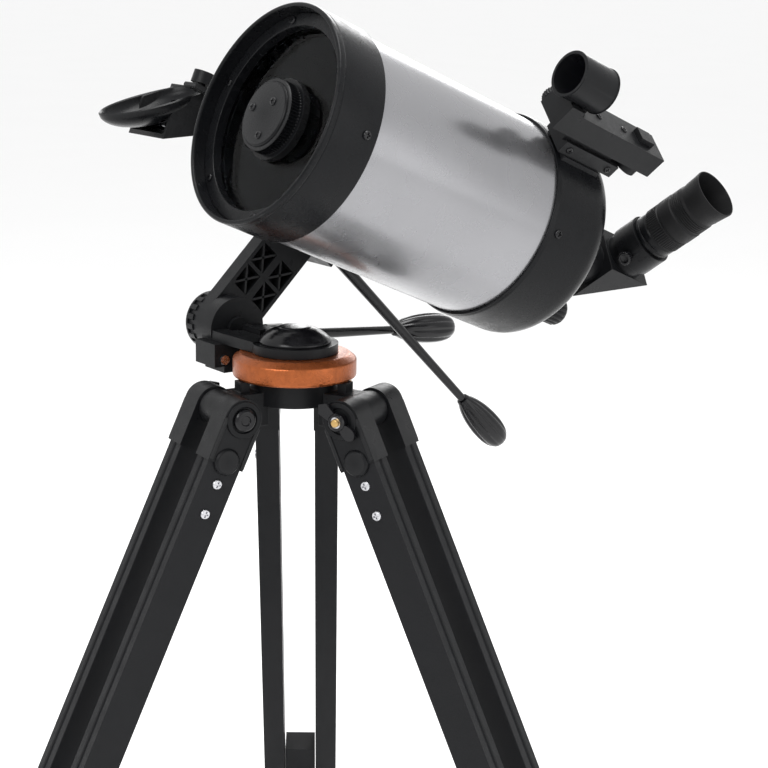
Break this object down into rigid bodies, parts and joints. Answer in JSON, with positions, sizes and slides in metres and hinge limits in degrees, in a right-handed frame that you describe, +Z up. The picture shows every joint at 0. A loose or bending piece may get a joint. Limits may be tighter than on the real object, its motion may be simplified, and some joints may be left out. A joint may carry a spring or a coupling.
{
  "type": "schmidt cassegrain telescope",
  "caption": "Short silver compound telescope on a single-arm altazimuth mount with control rods, star diagonal, red dot finder and phone dock, on a folding tripod.",
  "frame": {"origin": "on the azimuth axis at floor level, between the three feet", "axes": "+Z up; the tube points to -Y, 23 degrees up; the altitude axis runs along X with the fork arm on the -X side"},
  "size_m": [0.6191, 0.6427, 0.8997],
  "materials": {
    "black_plastic": "fine moulded texture, satin",
    "satin_black": "satin black paint",
    "silver_paint": "metallic silver paint, gloss",
    "orange_anodised": "metallic orange, satin",
    "rail_black": "black powder coat on aluminium extrusion",
    "steel": "bright zinc plate",
    "rubber": "matt rubber",
    "glass": "anti-reflection coated optical glass",
    "mirror": "front-silvered",
    "gloss_black": "semi-gloss moulded plastic"
  },
  "bodies": {
    "tripod": {"tripod_hub": "black_plastic", "azimuth_ring": "orange_anodised"},
    "leg_a": {"leg_a_rails": "rail_black", "leg_a_fittings": "black_plastic", "leg_a_fasteners": "steel"},
    "leg_a_lower": {"leg_a_lower": "rail_black"},
    "leg_a_lock": {"leg_a_lock_knob": "black_plastic"},
    "brace_arm_a": {"brace_arm_a": "satin_black"},
    "leg_b": {"leg_b_rails": "rail_black", "leg_b_fittings": "black_plastic", "leg_b_fasteners": "steel"},
    "leg_b_lower": {"leg_b_lower": "rail_black"},
    "leg_b_lock": {"leg_b_lock_knob": "black_plastic"},
    "brace_arm_b": {"brace_arm_b": "satin_black"},
    "leg_c": {"leg_c_rails": "rail_black", "leg_c_fittings": "black_plastic", "leg_c_fasteners": "steel"},
    "leg_c_lower": {"leg_c_lower": "rail_black"},
    "leg_c_lock": {"leg_c_lock_knob": "black_plastic"},
    "brace_arm_c": {"brace_arm_c": "satin_black"},
    "brace": {"brace_hub": "black_plastic", "accessory_tray": "black_plastic"},
    "turntable": {"base_arm": "black_plastic", "dome_cap": "gloss_black", "azimuth_housing": "black_plastic", "azimuth_fasteners": "steel"},
    "azimuth_rod": {"azimuth_rod": "gloss_black"},
    "arm": {"fork_arm": "black_plastic", "arm_covers": "black_plastic"},
    "altitude_rod": {"altitude_rod": "gloss_black"},
    "tube": {"altitude_hub": "black_plastic", "dovetail_bar": "satin_black", "saddle": "black_plastic", "front_cell": "satin_black", "corrector_plate": "glass", "retaining_ring": "satin_black", "secondary_housing": "black_plastic", "secondary_mirror": "mirror", "tube_screws": "satin_black", "optical_tube": "silver_paint", "rear_cell": "satin_black", "baffle_tube": "satin_black", "visual_back": "satin_black", "finder_bracket": "black_plastic", "finder_body": "black_plastic", "dock_tray": "black_plastic", "mirror_housing": "black_plastic", "dock_mirror": "mirror"},
    "primary_mirror": {"primary_mirror": "mirror"},
    "focus_knob": {"focus_knob": "black_plastic"},
    "saddle_knob": {"saddle_knob": "black_plastic"},
    "visual_back_screw": {"visual_back_screw": "steel"},
    "holder_screw": {"holder_screw": "satin_black"},
    "finder_dial": {"finder_dial": "black_plastic"},
    "phone_clamp": {"phone_clamp": "black_plastic"},
    "dock_knob": {"dock_knob": "black_plastic"},
    "diagonal": {"diagonal_housing": "black_plastic", "diagonal_prism": "glass"},
    "eyepiece": {"eyepiece": "satin_black", "eyecup": "rubber"}
  },
  "joints": [
    {"name": "brace_slide", "type": "slide", "parent": "tripod", "child": "brace", "axis": [0, 0, 1], "range_m": [0, 0.1205]},
    {"name": "leg_a_fold", "type": "hinge", "parent": "tripod", "child": "leg_a", "pos_m": [-0.04618, 0.03306, 0.617], "axis": [0.5821, 0.8131, 0], "range_deg": [-20, 0]},
    {"name": "leg_a_extend", "type": "slide", "parent": "leg_a", "child": "leg_a_lower", "axis": [-0.3427, 0.2454, -0.9068], "range_m": [-0.05, 0.13]},
    {"name": "leg_a_lock_turn", "type": "hinge", "parent": "leg_a", "child": "leg_a_lock", "pos_m": [-0.25344, 0.18145, 0.11132], "axis": [-0.7373, 0.5279, 0.4215], "range_deg": [0, 720]},
    {"name": "brace_arm_a_hinge", "type": "hinge", "parent": "brace", "child": "brace_arm_a", "pos_m": [-0.02114, 0.01513, 0.25156], "axis": [-0.5821, -0.8131, 0], "range_deg": [0, 61.1]},
    {"name": "leg_b_fold", "type": "hinge", "parent": "tripod", "child": "leg_b", "pos_m": [-0.00554, -0.05653, 0.617], "axis": [-0.9952, 0.0976, 0], "range_deg": [-20, 0]},
    {"name": "leg_b_extend", "type": "slide", "parent": "leg_b", "child": "leg_b_lower", "axis": [-0.0411, -0.4195, -0.9068], "range_m": [-0.05, 0.13]},
    {"name": "leg_b_lock_turn", "type": "hinge", "parent": "leg_b", "child": "leg_b_lock", "pos_m": [-0.03042, -0.31021, 0.11132], "axis": [-0.0885, -0.9025, 0.4215], "range_deg": [0, 720]},
    {"name": "brace_arm_b_hinge", "type": "hinge", "parent": "brace", "child": "brace_arm_b", "pos_m": [-0.00254, -0.02588, 0.25156], "axis": [0.9952, -0.0976, 0], "range_deg": [0, 61.1]},
    {"name": "leg_c_fold", "type": "hinge", "parent": "tripod", "child": "leg_c", "pos_m": [0.05173, 0.02346, 0.617], "axis": [0.4131, -0.9107, 0], "range_deg": [-20, 0]},
    {"name": "leg_c_extend", "type": "slide", "parent": "leg_c", "child": "leg_c_lower", "axis": [0.3839, 0.1741, -0.9068], "range_m": [-0.05, 0.13]},
    {"name": "leg_c_lock_turn", "type": "hinge", "parent": "leg_c", "child": "leg_c_lock", "pos_m": [0.28386, 0.12876, 0.11132], "axis": [0.8258, 0.3746, 0.4215], "range_deg": [0, 720]},
    {"name": "brace_arm_c_hinge", "type": "hinge", "parent": "brace", "child": "brace_arm_c", "pos_m": [0.02368, 0.01074, 0.25156], "axis": [-0.4131, 0.9107, 0], "range_deg": [0, 61.1]},
    {"name": "azimuth", "type": "hinge", "parent": "tripod", "child": "turntable", "pos_m": [0, 0, 0.65], "axis": [0, 0, 1], "continuous": true},
    {"name": "azimuth_control", "type": "hinge", "parent": "turntable", "child": "azimuth_rod", "pos_m": [-0.084, 0.01796, 0.64724], "axis": [0, 0.9976, -0.0698], "continuous": true},
    {"name": "arm_tilt", "type": "hinge", "parent": "turntable", "child": "arm", "pos_m": [0, -0.01, 0.661], "axis": [1, 0, 0], "range_deg": [0, 45]},
    {"name": "altitude", "type": "hinge", "parent": "arm", "child": "tube", "pos_m": [0, 0.0916, 0.7626], "axis": [-1, 0, 0], "range_deg": [-28, 52]},
    {"name": "altitude_control", "type": "hinge", "parent": "arm", "child": "altitude_rod", "pos_m": [-0.067, 0.05766, 0.72866], "axis": [0, 0.7071, -0.7071], "range_deg": [-1700, 3150]},
    {"name": "focus_turn", "type": "hinge", "parent": "tube", "child": "focus_knob", "pos_m": [0.08113, 0.16382, 0.68257], "axis": [0, 0.92, -0.392], "range_deg": [-3600, 3600]},
    {"name": "mirror_focus", "type": "slide", "parent": "tube", "child": "primary_mirror", "axis": [0, 0.92, -0.392], "range_m": [-0.00748, 0.00748]},
    {"name": "saddle_knob_turn", "type": "hinge", "parent": "tube", "child": "saddle_knob", "pos_m": [-0.0265, 0.07592, 0.7258], "axis": [0, -0.392, -0.92], "range_deg": [0, 720]},
    {"name": "visual_back_screw_turn", "type": "hinge", "parent": "tube", "child": "visual_back_screw", "pos_m": [0.0764, 0.18109, 0.70396], "axis": [0.6561, -0.2959, -0.6943], "range_deg": [0, 720]},
    {"name": "diagonal_turn", "type": "hinge", "parent": "tube", "child": "diagonal", "pos_m": [0.06, 0.20919, 0.71249], "axis": [0, 0.92, -0.392], "continuous": true},
    {"name": "holder_screw_turn", "type": "hinge", "parent": "diagonal", "child": "holder_screw", "pos_m": [0.0933, 0.23001, 0.71417], "axis": [0.4334, -0.8861, -0.1644], "range_deg": [0, 720]},
    {"name": "eyepiece_slide", "type": "slide", "parent": "diagonal", "child": "eyepiece", "axis": [0.7547, 0.2572, 0.6035], "range_m": [0, 0.03]},
    {"name": "finder_dial_turn", "type": "hinge", "parent": "tube", "child": "finder_dial", "pos_m": [0.11138, 0.13807, 0.83642], "axis": [-0.766, 0.252, 0.5913], "range_deg": [0, 300]},
    {"name": "phone_clamp_slide", "type": "slide", "parent": "tube", "child": "phone_clamp", "axis": [-1, 0, 0], "range_m": [0, 0.01]},
    {"name": "dock_knob_turn", "type": "hinge", "parent": "tube", "child": "dock_knob", "pos_m": [-0.116, -0.00405, 0.83706], "axis": [0, 0.392, 0.92], "range_deg": [-360, 360]}
  ],
  "couplings": [
    {"joint": "brace_arm_a_hinge", "follows": "leg_a_fold", "ratio": -3.05},
    {"joint": "brace_arm_b_hinge", "follows": "leg_a_fold", "ratio": -3.05},
    {"joint": "leg_b_fold", "follows": "leg_a_fold", "ratio": 1},
    {"joint": "brace_arm_c_hinge", "follows": "leg_a_fold", "ratio": -3.05},
    {"joint": "leg_c_fold", "follows": "leg_a_fold", "ratio": 1},
    {"joint": "brace_slide", "follows": "leg_a_fold", "m_per_rad": -0.345},
    {"joint": "azimuth_control", "follows": "azimuth", "ratio": 60},
    {"joint": "altitude_control", "follows": "altitude", "ratio": 60},
    {"joint": "focus_turn", "follows": "mirror_focus", "rad_per_m": 8400}
  ]
}
